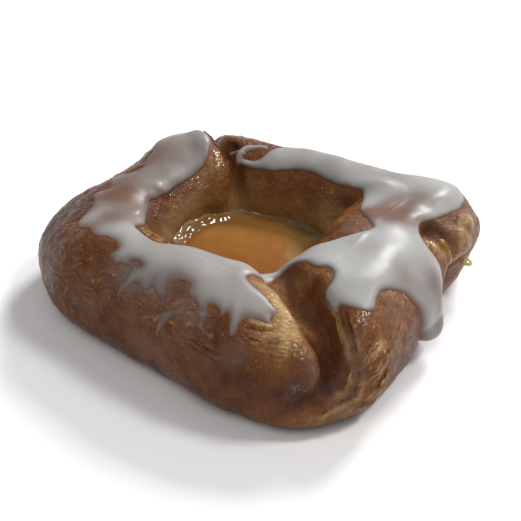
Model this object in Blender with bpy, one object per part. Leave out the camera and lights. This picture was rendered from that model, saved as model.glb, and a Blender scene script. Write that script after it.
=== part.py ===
"""Danish pastry: folded dough with a raised rim round a well, jelly and an apricot half in the well,
and one ribbon of icing laid over the rim.

The dough is lofted from radial sections set round the middle of the well. Every point of its skin
has two coordinates: an angle round the well, in degrees from +X, and a place along the section,
which is 0 on the crest of the rim, 1 where the pastry is widest, 2 at the edge of the flat base and
3 at the middle of the base, and on the other side -1 at the foot of the well's wall, -2 at the edge
of its floor and -3 at the middle of the floor. The icing and the jelly are laid out in the same
coordinates. Lengths are in millimetres and become metres when a mesh is made.
"""

import math
from typing import NamedTuple

import bpy
import numpy as np

MILLIMETRE = 0.001
GAP = 0.35  # clearance between touching pieces

WELL_X, WELL_Y = -3.0, 3.5
FLOOR_Z = 8.5  # floor of the well
WALL_FOOT_Z = 12.5  # where the wall turns into the floor
FLOOR_FILLET = 4.0
BASE_INSET = 8.0  # from the widest line in to the edge of the flat base
WALL_FULLNESS = 2.1  # exponent of the inner wall's rounded quarter

JELLY_Z = 12.3  # level of the jelly
APRICOT_X, APRICOT_Y = -4.0, 3.5
APRICOT_RADIUS = 17.0
APRICOT_RISE = 7.4  # above the jelly
APRICOT_FOOT_Z = 10.4

ICING_LIFT = 0.6  # clearance under the icing, whose facets cut across the dough's curves
ICING_EDGE = 0.4  # thickness at the edge of the ribbon
ICING_THICKNESS = 1.6
DRIP_LIFT = 0.9  # further clearance under the drip
DRIP_THICKNESS = 3.2


class Station(NamedTuple):
    """The rim's section at one angle."""

    wide: float  # greatest radius
    wide_z: float  # height of the greatest radius
    crest: float  # radius of the crest
    crest_z: float
    wall: float  # radius of the foot of the well's wall
    fullness: float  # exponent of the outer quarter: 2 is an ellipse, more is squarer


RIM = {
    -155: Station(65.5, 13, 41, 29.5, 24, 1.75),
    -130: Station(62.5, 12, 42, 31.5, 25, 1.85),
    -105: Station(55.0, 12, 38, 34.0, 23, 2.0),
    -80: Station(57.0, 12, 37, 34.5, 22, 2.1),
    -60: Station(66.0, 12, 41, 33.0, 23, 2.0),
    -46: Station(73.5, 12, 45, 31.0, 24, 1.9),
    -33: Station(73.5, 12, 47, 33.0, 25, 2.5),
    -18: Station(68.0, 13, 44, 34.0, 23, 2.6),
    0: Station(62.0, 13, 42, 34.0, 22, 2.6),
    20: Station(62.0, 14, 42, 33.5, 23, 2.3),
    41: Station(73.0, 14, 50, 31.5, 27, 2.4),
    58: Station(60.5, 14, 42, 32.0, 25, 2.0),
    80: Station(48.5, 14, 36, 31.8, 22, 1.9),
    105: Station(48.5, 14, 34, 32.0, 21, 1.9),
    130: Station(58.0, 14, 40, 32.0, 22, 1.8),
    150: Station(60.5, 13, 41, 33.2, 22, 1.75),
    175: Station(56.0, 13, 37, 32.0, 23, 1.7),
}


class Track(NamedTuple):
    """One point of a fold that runs across the rim."""

    place: float  # along the section
    centre: float  # angle of the fold's middle
    depth: float


# The groove between two flaps of dough at the front corner, from the well out and down the side.
GROOVE_ANGLE = -38.0
GROOVE = [
    Track(-1.0, -46.0, 0.0),
    Track(-0.6, -46.0, 1.5),
    Track(-0.3, -44.5, 4.5),
    Track(0.0, -40.0, 7.5),
    Track(0.3, -37.0, 9.5),
    Track(0.6, -35.0, 10.5),
    Track(0.8, -34.5, 10.0),
    Track(1.0, -35.5, 7.5),
    Track(1.2, -36.0, 3.5),
    Track(1.45, -37.0, 0.0),
    Track(2.0, -38.0, 0.0),
]
GROOVE_HALF_WIDTH = 4.7

# The crease at the opposite corner, where the end of the left flap laps the back of the rim.
CREASE_ANGLE = 137.0
CREASE = [
    Track(-2.0, 134.0, 0.0),
    Track(-1.0, 134.0, 2.5),
    Track(-0.5, 134.0, 4.5),
    Track(0.0, 138.0, 5.0),
    Track(0.5, 140.0, 4.0),
    Track(1.0, 138.0, 0.0),
    Track(2.0, 137.0, 0.0),
]
CREASE_HALF_WIDTH = 2.4
LOBE_RISE = 2.2  # how far the lapping end stands proud, beside the crease
FOLD_REACH = 26.0  # degrees over which the sections lean to follow a fold

# The inner corner where the right flap of the rim stands in front of its back.
CORNER_ANGLE = 47.0
CORNER_DEPTH = 3.0
CORNER_RISE = 1.8

# The open, layered end of the dough at the right corner: hollows and lumps on the outer wall.
# Angle, place, radius of the spot and height, negative for a hollow.
CORNER_SPOTS = [
    (17.0, 0.58, 6.0, -3.2),
    (24.0, 0.74, 4.5, 2.0),
    (22.0, 1.05, 6.0, -1.6),
    (35.0, 0.82, 5.5, 2.2),
    (-46.5, 0.80, 4.0, -2.8),
]

# Edges of the icing: angle, inner place and outer place. The ribbon starts at the crease, runs
# round by the left and the front, bridges the groove and ends on the back of the rim.
ICING = [
    (143.0, -0.06, 0.02),
    (146.0, -0.26, 0.13),
    (152.0, -0.38, 0.24),
    (165.0, -0.47, 0.18),
    (184.0, -0.43, 0.26),
    (205.0, -0.41, 0.20),
    (225.0, -0.38, 0.24),
    (245.0, -0.32, 0.30),
    (259.0, -0.30, 0.56),
    (272.0, -0.30, 0.58),
    (277.0, -0.30, 0.74),
    (286.0, -0.30, 0.57),
    (299.0, -0.34, 0.54),
    (307.0, -0.42, 0.36),
    (312.0, -0.52, 0.10),
    (317.0, -0.60, -0.24),
    (324.0, -0.64, -0.32),
    (329.0, -0.60, -0.16),
    (333.0, -0.54, 0.26),
    (340.0, -0.42, 0.43),
    (346.0, -0.18, 0.55),
    (350.0, -0.12, 0.90),
    (354.0, -0.08, 1.10),
    (361.0, -0.04, 1.12),
    (366.0, -0.05, 0.80),
    (372.0, -0.08, 0.52),
    (380.0, -0.18, 0.40),
    (391.0, -0.36, 0.46),
    (402.0, -0.34, 0.48),
    (409.0, -0.33, 0.14),
    (430.0, -0.35, 0.10),
    (450.0, -0.37, 0.17),
    (468.0, -0.40, 0.00),
    (484.0, -0.38, -0.14),
    (491.0, -0.30, -0.22),
]
DRIP_ANGLE = 357.5  # the run of icing down the right side
DRIP_HALF_ANGLE = 9.0


def turn(angle):
    """The same angle between -180 and 180 degrees."""
    return (angle + 180) % 360 - 180


def ramp(start, end, value):
    """0 at start and 1 at end, with level ends."""
    share = np.clip((value - start) / (end - start), 0, 1)
    return share * share * (3 - 2 * share)


def hill(value):
    return np.exp(-value * value)


def power(value, exponent):
    return np.abs(value) ** exponent


def rim_value(column, angle):
    """One column of RIM at any angle, on a smooth closed curve through the stations."""
    angles = np.array(sorted(RIM), float)
    values = np.array([RIM[key][column] for key in sorted(RIM)], float)
    knots = np.concatenate([angles - 360, angles, angles + 360])
    values = np.tile(values, 3)
    steps = np.diff(knots)
    rates = np.diff(values) / steps
    slopes = np.zeros(len(knots))
    weighted = rates[:-1] * steps[1:] + rates[1:] * steps[:-1]
    slopes[1:-1] = weighted / (steps[:-1] + steps[1:])
    angle = turn(np.asarray(angle, float))
    left = np.searchsorted(knots, angle, side="right") - 1
    width = steps[left]
    t = (angle - knots[left]) / width
    start = (2 * t**3 - 3 * t**2 + 1) * values[left] + (t**3 - 2 * t**2 + t) * width * slopes[left]
    end = (3 * t**2 - 2 * t**3) * values[left + 1] + (t**3 - t**2) * width * slopes[left + 1]
    return start + end


def section(angle, place):
    """(radius, height) of the plain section, before the folds."""
    rim = Station(*[rim_value(column, angle) for column in range(len(Station._fields))])
    base = rim.wide - BASE_INSET
    quarter = math.pi / 2

    out = quarter * (1 - np.clip(place, 0, 1))
    out_r = rim.crest + (rim.wide - rim.crest) * power(np.cos(out), 2 / rim.fullness)
    out_z = rim.wide_z + (rim.crest_z - rim.wide_z) * power(np.sin(out), 2 / rim.fullness)

    low = quarter * (2 - np.clip(place, 1, 2))
    low_r = base + BASE_INSET * np.sin(low)
    low_z = rim.wide_z * (1 - np.cos(low))

    wall = quarter * np.clip(-place, 0, 1)
    wall_r = rim.crest - (rim.crest - rim.wall) * power(np.sin(wall), 2 / WALL_FULLNESS)
    wall_z = WALL_FOOT_Z + (rim.crest_z - WALL_FOOT_Z) * power(np.cos(wall), 2 / WALL_FULLNESS)

    foot = quarter * np.clip(-place - 1, 0, 1)
    foot_r = rim.wall - FLOOR_FILLET * (1 - np.cos(foot))
    foot_z = WALL_FOOT_Z - (WALL_FOOT_Z - FLOOR_Z) * np.sin(foot)

    ranges = [place > 2, place > 1, place >= 0, place >= -1, place >= -2]
    floor_r = (rim.wall - FLOOR_FILLET) * (3 + place)
    radius = np.select(ranges, [base * (3 - place), low_r, out_r, wall_r, foot_r], floor_r)
    height = np.select(ranges, [0 * base, low_z, out_z, wall_z, foot_z], FLOOR_Z + 0 * base)
    return radius, height


def along(track, field, place):
    """One field of a fold's track at any place along the section."""
    places = [point.place for point in track]
    return np.interp(place, places, [getattr(point, field) for point in track])


def lean(angle, place):
    """The true angle of a column of the loft, which leans to follow the two folds."""
    true = angle
    for track, middle in ((GROOVE, GROOVE_ANGLE), (CREASE, CREASE_ANGLE)):
        shift = along(track, "centre", place) - middle
        true = true + shift * hill(turn(angle - middle) / FOLD_REACH)
    return true


def relief(angle, place, radius, height):
    """How far the folds, creases and lumps move the skin along its normal."""
    groove = np.radians(turn(angle - GROOVE_ANGLE)) * np.maximum(radius, 30)
    move = -along(GROOVE, "depth", place) / (1 + np.abs(groove / GROOVE_HALF_WIDTH) ** 5)

    crease = np.radians(turn(angle - CREASE_ANGLE)) * np.maximum(radius, 18)
    upper = ramp(13, 22, height)
    move -= along(CREASE, "depth", place) * upper * hill((crease + 1) / CREASE_HALF_WIDTH)
    move += LOBE_RISE * upper * ramp(0.3, -0.1, place) * hill((crease - 6) / 4.5)

    corner = np.radians(turn(angle - CORNER_ANGLE)) * np.maximum(radius, 22)
    inside = ramp(14, 20, height) * ramp(-0.12, -0.42, place)
    move -= CORNER_DEPTH * inside * hill(corner / 2.2)
    move += CORNER_RISE * inside * hill((corner + 6) / 4)

    for middle, level, size, rise in CORNER_SPOTS:
        across = np.radians(turn(angle - middle)) * radius
        down = (place - level) * 30
        move += rise * hill(np.hypot(across, down) / size)
    return move


def skin(angle, place, lift=0.0):
    """Points of the dough's surface, or of a surface a given lift above it."""
    angle, place = np.broadcast_arrays(np.asarray(angle, float), np.asarray(place, float))
    true = lean(angle, place)
    radius, height = section(true, place)
    before = section(true, place - 0.001)
    after = section(true, place + 0.001)
    along_r, along_z = after[0] - before[0], after[1] - before[1]
    length = np.hypot(along_r, along_z) + 1e-12
    move = relief(angle, place, radius, height) * ramp(2.0, 1.6, place) + lift
    radius = radius - along_z / length * move
    height = height + along_r / length * move
    turned = np.radians(true)
    x = WELL_X + radius * np.cos(turned)
    y = WELL_Y + radius * np.sin(turned)
    return np.stack([x, y, np.maximum(height, 0.0)], -1)


def loft_columns(count):
    """Column angles, closer together at the groove and at the crease."""
    even = np.linspace(-180, 180, 1441)
    weight = 1 + 2.6 * hill(turn(even - GROOVE_ANGLE) / 9) + 1.2 * hill(turn(even - CREASE_ANGLE) / 8)
    total = np.concatenate([[0], np.cumsum((weight[1:] + weight[:-1]) / 2)])
    return np.interp(np.arange(count) / count, total / total[-1], even)


def clear_scene():
    for item in list(bpy.data.objects):
        bpy.data.objects.remove(item)


def make_material(name, colour, roughness):
    material = bpy.data.materials.new(name)
    material.use_nodes = True
    shader = material.node_tree.nodes["Principled BSDF"]
    shader.inputs["Base Color"].default_value = (*colour, 1)
    shader.inputs["Roughness"].default_value = roughness
    shader.inputs["Metallic"].default_value = 0
    return material


def make_object(name, points, faces, material, collection):
    mesh = bpy.data.meshes.new(name)
    mesh.from_pydata((np.asarray(points) * MILLIMETRE).tolist(), [], faces)
    mesh.validate()
    mesh.update()
    mesh.shade_smooth()
    mesh.materials.append(material)
    item = bpy.data.objects.new(name, mesh)
    collection.objects.link(item)
    return item


def strip_faces(rows, columns, closed):
    """Quads between neighbouring rows of points, and round the columns if they close."""
    faces = []
    for row in range(rows - 1):
        for column in range(columns if closed else columns - 1):
            beside = (column + 1) % columns
            here, above = row * columns, (row + 1) * columns
            faces.append((here + column, here + beside, above + beside, above + column))
    return faces


def turned_solid(rings, bottom, top):
    """Points and faces of a solid made of closed rings, from the bottom's middle to the top's."""
    rows, columns = len(rings), len(rings[0])
    points = np.concatenate([np.reshape(rings, (-1, 3)), [bottom, top]])
    faces = strip_faces(rows, columns, True)
    last = (rows - 1) * columns
    for column in range(columns):
        beside = (column + 1) % columns
        faces.append((rows * columns, beside, column))
        faces.append((rows * columns + 1, last + column, last + beside))
    return points, faces


def dough_shape(columns):
    """The whole pastry, from the middle of its base, up the outside and down into the well."""
    places = np.concatenate(
        [
            [2.0],
            np.linspace(2, 1, 5)[1:],
            np.linspace(1, 0, 12)[1:],
            np.linspace(0, -1, 9)[1:],
            np.linspace(-1, -2, 3)[1:],
        ]
    )
    rings = [skin(columns, place) for place in places]
    return turned_solid(rings, (WELL_X, WELL_Y, 0.0), (WELL_X, WELL_Y, FLOOR_Z))


def jelly_shape(columns):
    """The pool of jelly, with a round seat in its top for the apricot half."""
    turned = np.radians(columns)
    wall = [skin(columns, place, GAP) for place in (-2.0, -1.6, -1.25, -1.02)]
    level = [np.column_stack([ring[:, :2], np.full(len(ring), JELLY_Z)]) for ring in wall[-1:]]

    def seat_ring(radius, height):
        x = APRICOT_X + radius * np.cos(turned)
        y = APRICOT_Y + radius * np.sin(turned)
        return np.column_stack([x, y, np.full(len(turned), height)])

    seat = APRICOT_RADIUS + GAP
    seat_z = APRICOT_FOOT_Z - GAP
    rings = wall[:-1] + level + [seat_ring(seat, JELLY_Z), seat_ring(seat - 0.6, seat_z)]
    bottom = (WELL_X, WELL_Y, FLOOR_Z + GAP)
    return turned_solid(rings, bottom, (APRICOT_X, APRICOT_Y, seat_z))


def apricot_shape(count, rows):
    """Half an apricot, round side up: an upright rim and a dome that is a little longer one way."""
    turned = np.linspace(0, 2 * math.pi, count, endpoint=False)
    top_z = JELLY_Z + APRICOT_RISE
    rings = []
    for radius, height in [(0.96, 0.0)] + [
        (math.cos(rise), math.sin(rise)) for rise in np.linspace(0.12, 1.35, rows)
    ]:
        z = APRICOT_FOOT_Z + height * (top_z - APRICOT_FOOT_Z)
        x = APRICOT_X + APRICOT_RADIUS * radius * np.cos(turned)
        y = APRICOT_Y + APRICOT_RADIUS * radius * 0.96 * np.sin(turned)
        rings.append(np.column_stack([x, y, np.full(count, z)]))
    bottom = (APRICOT_X, APRICOT_Y, APRICOT_FOOT_Z)
    return turned_solid(rings, bottom, (APRICOT_X, APRICOT_Y, top_z))


def icing_shape(columns, across):
    """The ribbon of icing: a low crescent section, lofted from its start to its end."""
    stations = np.array(ICING)
    start, end = stations[0, 0], stations[-1, 0]
    angles = np.sort((columns - start) % 360 + start)
    angles = angles[(angles > start + 0.5) & (angles < end - 0.5)]
    angles = np.concatenate([[start], angles, [end]])
    inner = np.interp(angles, stations[:, 0], stations[:, 1])
    outer = np.interp(angles, stations[:, 0], stations[:, 2])
    drip = hill((angles - DRIP_ANGLE) / DRIP_HALF_ANGLE)
    share = np.linspace(0, 1, across + 1)
    loops = []
    for angle, low, high, run in zip(angles, inner, outer, drip):
        places = low + (high - low) * share
        body = np.sqrt(1 - (2 * share - 1) ** 4)
        depth = ICING_THICKNESS + (DRIP_THICKNESS - ICING_THICKNESS) * run * ramp(0.5, 0.9, places)
        lift = ICING_LIFT + DRIP_LIFT * run
        top = skin(angle, places, lift + ICING_EDGE + body * depth)
        under = skin(angle, places[::-1], lift)
        loops.append(np.concatenate([top, under]))
    points = np.concatenate(loops)
    size = len(loops[0])
    faces = strip_faces(len(loops), size, True)
    faces.append(tuple(range(size - 1, -1, -1)))
    faces.append(tuple((len(loops) - 1) * size + index for index in range(size)))
    return points, faces


def centre_shapes(shapes):
    """Moves every shape so that the whole stands on the origin, in the middle of its box."""
    everything = np.concatenate([points for points, _ in shapes])
    middle = (everything.min(axis=0) + everything.max(axis=0)) / 2
    middle[2] = 0.0
    return [(points - middle, faces) for points, faces in shapes]


def build():
    clear_scene()
    collection = bpy.data.collections.new("danish_pastry")
    bpy.context.scene.collection.children.link(collection)
    columns = loft_columns(92)
    looks = {
        "pastry": ((0.19, 0.075, 0.035), 0.35),
        "filling": ((0.30, 0.16, 0.04), 0.10),
        "apricot_half": ((0.50, 0.22, 0.05), 0.20),
        "icing": ((0.42, 0.42, 0.40), 0.20),
    }
    shapes = centre_shapes(
        [dough_shape(columns), jelly_shape(columns), apricot_shape(48, 8), icing_shape(columns, 7)]
    )
    for (name, (colour, roughness)), (points, faces) in zip(looks.items(), shapes):
        make_object(name, points, faces, make_material(name, colour, roughness), collection)


build()
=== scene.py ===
"""Looks of the danish pastry: browned folded dough, a ribbon of icing, jelly and an apricot half.

The dough's surface has two coordinates, as in the CAD: an angle round the well, in degrees from +X,
and a place along the radial section, which is 0 on the crest of the rim, 1 where the pastry is
widest, 2 at the edge of the flat base and 3 at its middle, and on the other side -1 at the foot of
the well's wall, -2 at the edge of its floor and -3 at its middle. Everything laid on the dough is
placed in those coordinates. Lengths are in millimetres until a mesh is made.
"""

import itertools
import math
from typing import NamedTuple

import bpy
import numpy as np
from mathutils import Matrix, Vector

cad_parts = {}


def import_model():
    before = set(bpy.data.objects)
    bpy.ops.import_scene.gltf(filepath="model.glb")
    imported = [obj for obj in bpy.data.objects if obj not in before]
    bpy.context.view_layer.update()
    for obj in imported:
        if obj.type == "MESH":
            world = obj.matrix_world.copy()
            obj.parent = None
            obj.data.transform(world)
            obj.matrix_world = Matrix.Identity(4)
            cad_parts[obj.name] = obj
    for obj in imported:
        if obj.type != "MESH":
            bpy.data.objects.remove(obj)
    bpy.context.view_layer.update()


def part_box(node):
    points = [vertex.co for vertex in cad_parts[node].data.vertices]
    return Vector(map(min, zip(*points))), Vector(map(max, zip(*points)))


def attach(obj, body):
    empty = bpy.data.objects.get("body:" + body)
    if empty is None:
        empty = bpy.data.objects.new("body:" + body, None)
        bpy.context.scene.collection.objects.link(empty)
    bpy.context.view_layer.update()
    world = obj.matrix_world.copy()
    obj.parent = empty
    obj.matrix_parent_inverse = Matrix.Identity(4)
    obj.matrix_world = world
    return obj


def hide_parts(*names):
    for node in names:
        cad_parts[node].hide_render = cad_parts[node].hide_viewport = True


MILLIMETRE = 0.001

# ---------------------------------------------------------------- the dough's form, as in the CAD

WELL_X, WELL_Y = -3.0, 3.5
FLOOR_Z = 8.5
WALL_FOOT_Z = 12.5
FLOOR_FILLET = 4.0
BASE_INSET = 8.0
WALL_FULLNESS = 2.1
JELLY_Z = 12.3
APRICOT_X, APRICOT_Y = -4.0, 3.5


class Station(NamedTuple):
    """The rim's section at one angle."""

    wide: float  # greatest radius
    wide_z: float  # height of the greatest radius
    crest: float  # radius of the crest
    crest_z: float
    wall: float  # radius of the foot of the well's wall
    fullness: float  # exponent of the outer quarter: 2 is an ellipse, more is squarer


RIM = {
    -155: Station(65.5, 13, 41, 29.5, 24, 1.75),
    -130: Station(62.5, 12, 42, 31.5, 25, 1.85),
    -105: Station(55.0, 12, 38, 34.0, 23, 2.0),
    -80: Station(57.0, 12, 37, 34.5, 22, 2.1),
    -60: Station(66.0, 12, 41, 33.0, 23, 2.0),
    -46: Station(73.5, 12, 45, 31.0, 24, 1.9),
    -33: Station(73.5, 12, 47, 33.0, 25, 2.5),
    -18: Station(68.0, 13, 44, 34.0, 23, 2.6),
    0: Station(62.0, 13, 42, 34.0, 22, 2.6),
    20: Station(62.0, 14, 42, 33.5, 23, 2.3),
    41: Station(73.0, 14, 50, 31.5, 27, 2.4),
    58: Station(60.5, 14, 42, 32.0, 25, 2.0),
    80: Station(48.5, 14, 36, 31.8, 22, 1.9),
    105: Station(48.5, 14, 34, 32.0, 21, 1.9),
    130: Station(58.0, 14, 40, 32.0, 22, 1.8),
    150: Station(60.5, 13, 41, 33.2, 22, 1.75),
    175: Station(56.0, 13, 37, 32.0, 23, 1.7),
}


class Track(NamedTuple):
    """One point of a fold that runs across the rim."""

    place: float  # along the section
    centre: float  # angle of the fold's middle
    depth: float


GROOVE_ANGLE = -38.0
GROOVE = [
    Track(-1.0, -46.0, 0.0),
    Track(-0.6, -46.0, 1.5),
    Track(-0.3, -44.5, 4.5),
    Track(0.0, -40.0, 7.0),
    Track(0.3, -37.5, 8.5),
    Track(0.6, -37.9, 9.0),
    Track(0.8, -38.3, 8.8),
    Track(0.95, -38.4, 7.4),
    Track(1.08, -39.2, 4.8),
    Track(1.2, -41.0, 1.9),
    Track(1.35, -43.0, 0.2),
    Track(1.6, -40.0, 0.0),
    Track(2.0, -38.0, 0.0),
]
GROOVE_LEFT_WIDTH, GROOVE_RIGHT_WIDTH = 5.0, 4.6

CREASE_ANGLE = 137.0
CREASE = [
    Track(-2.0, 134.0, 0.0),
    Track(-1.0, 134.0, 2.5),
    Track(-0.5, 134.0, 4.5),
    Track(0.0, 138.0, 5.0),
    Track(0.5, 140.0, 4.0),
    Track(1.0, 138.0, 0.0),
    Track(2.0, 137.0, 0.0),
]
CREASE_HALF_WIDTH = 2.4
LOBE_RISE = 2.2
FOLD_REACH = 26.0

CORNER_ANGLE = 47.0
CORNER_DEPTH = 3.0
CORNER_RISE = 1.8
CORNER_SPOTS = [
    (17.0, 0.58, 6.0, -3.2),
    (24.0, 0.74, 4.5, 2.0),
    (22.0, 1.05, 6.0, -1.6),
    (35.0, 0.82, 5.5, 2.2),
    (-46.5, 0.80, 4.0, -1.6),
]


def turn(angle):
    """The same angle between -180 and 180 degrees."""
    return (angle + 180) % 360 - 180


def ramp(start, end, value):
    """0 at start and 1 at end, with level ends."""
    share = np.clip((value - start) / (end - start), 0, 1)
    return share * share * (3 - 2 * share)


def hill(value):
    return np.exp(-value * value)


def power(value, exponent):
    return np.abs(value) ** exponent


def rim_value(column, angle):
    """One column of RIM at any angle, on a smooth closed curve through the stations."""
    angles = np.array(sorted(RIM), float)
    values = np.array([RIM[key][column] for key in sorted(RIM)], float)
    knots = np.concatenate([angles - 360, angles, angles + 360])
    values = np.tile(values, 3)
    steps = np.diff(knots)
    rates = np.diff(values) / steps
    slopes = np.zeros(len(knots))
    weighted = rates[:-1] * steps[1:] + rates[1:] * steps[:-1]
    slopes[1:-1] = weighted / (steps[:-1] + steps[1:])
    angle = turn(np.asarray(angle, float))
    left = np.searchsorted(knots, angle, side="right") - 1
    width = steps[left]
    t = (angle - knots[left]) / width
    start = (2 * t**3 - 3 * t**2 + 1) * values[left] + (t**3 - 2 * t**2 + t) * width * slopes[left]
    end = (3 * t**2 - 2 * t**3) * values[left + 1] + (t**3 - t**2) * width * slopes[left + 1]
    return start + end


def section(angle, place):
    """(radius, height) of the plain section, before the folds."""
    rim = Station(*[rim_value(column, angle) for column in range(len(Station._fields))])
    base = rim.wide - BASE_INSET
    quarter = math.pi / 2

    out = quarter * (1 - np.clip(place, 0, 1))
    out_r = rim.crest + (rim.wide - rim.crest) * power(np.cos(out), 2 / rim.fullness)
    out_z = rim.wide_z + (rim.crest_z - rim.wide_z) * power(np.sin(out), 2 / rim.fullness)

    low = quarter * (2 - np.clip(place, 1, 2))
    low_r = base + BASE_INSET * np.sin(low)
    low_z = rim.wide_z * (1 - np.cos(low))

    wall = quarter * np.clip(-place, 0, 1)
    wall_r = rim.crest - (rim.crest - rim.wall) * power(np.sin(wall), 2 / WALL_FULLNESS)
    wall_z = WALL_FOOT_Z + (rim.crest_z - WALL_FOOT_Z) * power(np.cos(wall), 2 / WALL_FULLNESS)

    foot = quarter * np.clip(-place - 1, 0, 1)
    foot_r = rim.wall - FLOOR_FILLET * (1 - np.cos(foot))
    foot_z = WALL_FOOT_Z - (WALL_FOOT_Z - FLOOR_Z) * np.sin(foot)

    ranges = [place > 2, place > 1, place >= 0, place >= -1, place >= -2]
    floor_r = (rim.wall - FLOOR_FILLET) * (3 + place)
    radius = np.select(ranges, [base * (3 - place), low_r, out_r, wall_r, foot_r], floor_r)
    height = np.select(ranges, [0 * base, low_z, out_z, wall_z, foot_z], FLOOR_Z + 0 * base)
    return radius, height


def along(track, field, place):
    """One field of a fold's track at any place along the section."""
    places = [point.place for point in track]
    return np.interp(place, places, [getattr(point, field) for point in track])


def lean(angle, place):
    """The true angle of a column of the loft, which leans to follow the two folds."""
    true = angle
    for track, middle in ((GROOVE, GROOVE_ANGLE), (CREASE, CREASE_ANGLE)):
        shift = along(track, "centre", place) - middle
        true = true + shift * hill(turn(angle - middle) / FOLD_REACH)
    return true


def relief(angle, place, radius, height):
    """How far the folds, creases and lumps move the skin along its normal."""
    groove = np.radians(turn(angle - GROOVE_ANGLE)) * np.maximum(radius, 30)
    left_width = GROOVE_LEFT_WIDTH - 2.0 * ramp(0.3, 0.55, place) + 5.0 * ramp(0.70, 1.15, place)
    left = 1 / (1 + np.abs(groove / left_width) ** (3.4 - 1.2 * ramp(0.6, 0.95, place)))
    right = 1 / (1 + np.abs(groove / GROOVE_RIGHT_WIDTH) ** 6)
    move = -along(GROOVE, "depth", place) * np.where(groove < 0, left, right)

    crease = np.radians(turn(angle - CREASE_ANGLE)) * np.maximum(radius, 18)
    upper = ramp(13, 22, height)
    move -= along(CREASE, "depth", place) * upper * hill((crease + 1) / CREASE_HALF_WIDTH)
    move += LOBE_RISE * upper * ramp(0.3, -0.1, place) * hill((crease - 6) / 4.5)

    corner = np.radians(turn(angle - CORNER_ANGLE)) * np.maximum(radius, 22)
    inside = ramp(14, 20, height) * ramp(-0.34, -0.60, place)
    move -= CORNER_DEPTH * inside * hill(corner / 2.2)
    move += CORNER_RISE * inside * hill((corner + 6) / 4)

    for middle, level, size, rise in CORNER_SPOTS:
        across = np.radians(turn(angle - middle)) * radius
        down = (place - level) * 30
        move += rise * hill(np.hypot(across, down) / size)
    return move


def skin(angle, place, lift=0.0):
    """Points of the dough's plain surface, or of a surface a given lift above it."""
    angle, place = np.broadcast_arrays(np.asarray(angle, float), np.asarray(place, float))
    true = lean(angle, place)
    radius, height = section(true, place)
    before = section(true, place - 0.001)
    after = section(true, place + 0.001)
    along_r, along_z = after[0] - before[0], after[1] - before[1]
    length = np.hypot(along_r, along_z) + 1e-12
    move = relief(angle, place, radius, height) * ramp(2.0, 1.6, place) + lift
    radius = radius - along_z / length * move
    height = height + along_r / length * move
    turned = np.radians(true)
    x = WELL_X + radius * np.cos(turned)
    y = WELL_Y + radius * np.sin(turned)
    return np.stack([x, y, np.maximum(height, 0.0)], -1)


def frame_shift():
    """From the loft's own millimetres to the frame, worked out from the pastry's box."""
    low, high = np.array(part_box("pastry")) / MILLIMETRE
    rings = skin(np.linspace(-180, 180, 721)[None, :], np.linspace(0, 2, 81)[:, None])
    shift = (low + high - rings.min((0, 1)) - rings.max((0, 1))) / 2
    shift[2] = 0.0
    return shift


# ---------------------------------------------------------------- noise and surface patches


def cell_noise(points, size, seed):
    """Smooth noise of about -1 to 1 at (..., 3) points, with features of the given size."""
    random = np.random.default_rng(seed)
    order = random.permutation(256)
    directions = random.normal(size=(256, 3))
    directions /= np.linalg.norm(directions, axis=1, keepdims=True)
    scaled = points / size
    cell = np.floor(scaled).astype(int)
    local = scaled - cell
    fade = local**3 * (local * (local * 6 - 15) + 10)
    total = np.zeros(points.shape[:-1])
    for corner in itertools.product((0, 1), repeat=3):
        key = order[(cell[..., 0] + corner[0]) & 255]
        key = order[(key + cell[..., 1] + corner[1]) & 255]
        key = order[(key + cell[..., 2] + corner[2]) & 255]
        weight = np.prod(np.where(corner, fade, 1 - fade), axis=-1)
        total += weight * ((local - corner) * directions[key]).sum(-1)
    return total * 1.7


class Patch(NamedTuple):
    """A grid of places on the dough with what is needed to shape something there."""

    angle: np.ndarray
    place: np.ndarray
    points: np.ndarray  # on the plain surface
    normal: np.ndarray
    mm_angle: np.ndarray  # millimetres for one degree
    mm_place: np.ndarray  # millimetres for one unit of place


def make_patch(angle, place):
    angle, place = np.broadcast_arrays(np.asarray(angle, float), np.asarray(place, float))
    points = skin(angle, place)
    step_angle, step_place = 0.3, 0.008
    by_angle = skin(angle + step_angle, place) - skin(angle - step_angle, place)
    by_place = skin(angle, place + step_place) - skin(angle, place - step_place)
    normal = np.cross(by_place, by_angle)
    normal /= np.linalg.norm(normal, axis=-1, keepdims=True) + 1e-12
    normal[normal[..., 2] < -0.999] = (0, 0, -1)
    mm_angle = np.linalg.norm(by_angle, axis=-1) / (2 * step_angle) + 1e-3
    mm_place = np.linalg.norm(by_place, axis=-1) / (2 * step_place) + 1e-3
    return Patch(angle, place, points, normal, mm_angle, mm_place)


def line_distance(patch, line):
    """(distance, side, share): how far each grid point is from a line of (angle, place) points, in
    millimetres, negative side on its left, and how far along the line the nearest point is."""
    line = np.asarray(line, float)
    best = np.full(patch.place.shape, 1e9)
    side = np.zeros(best.shape)
    share = np.zeros(best.shape)
    count = len(line) - 1
    for index in range(count):
        first, last = line[index], line[index + 1]
        x0 = turn(first[0] - patch.angle) * patch.mm_angle
        y0 = (first[1] - patch.place) * patch.mm_place
        dx = (last[0] - first[0]) * patch.mm_angle
        dy = (last[1] - first[1]) * patch.mm_place
        t = np.clip(-(x0 * dx + y0 * dy) / (dx * dx + dy * dy + 1e-9), 0, 1)
        distance = np.hypot(x0 + t * dx, y0 + t * dy)
        nearer = distance < best
        best = np.where(nearer, distance, best)
        side = np.where(nearer, np.sign(x0 * dy - y0 * dx), side)
        share = np.where(nearer, (index + t) / count, share)
    return best, side, share


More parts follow.
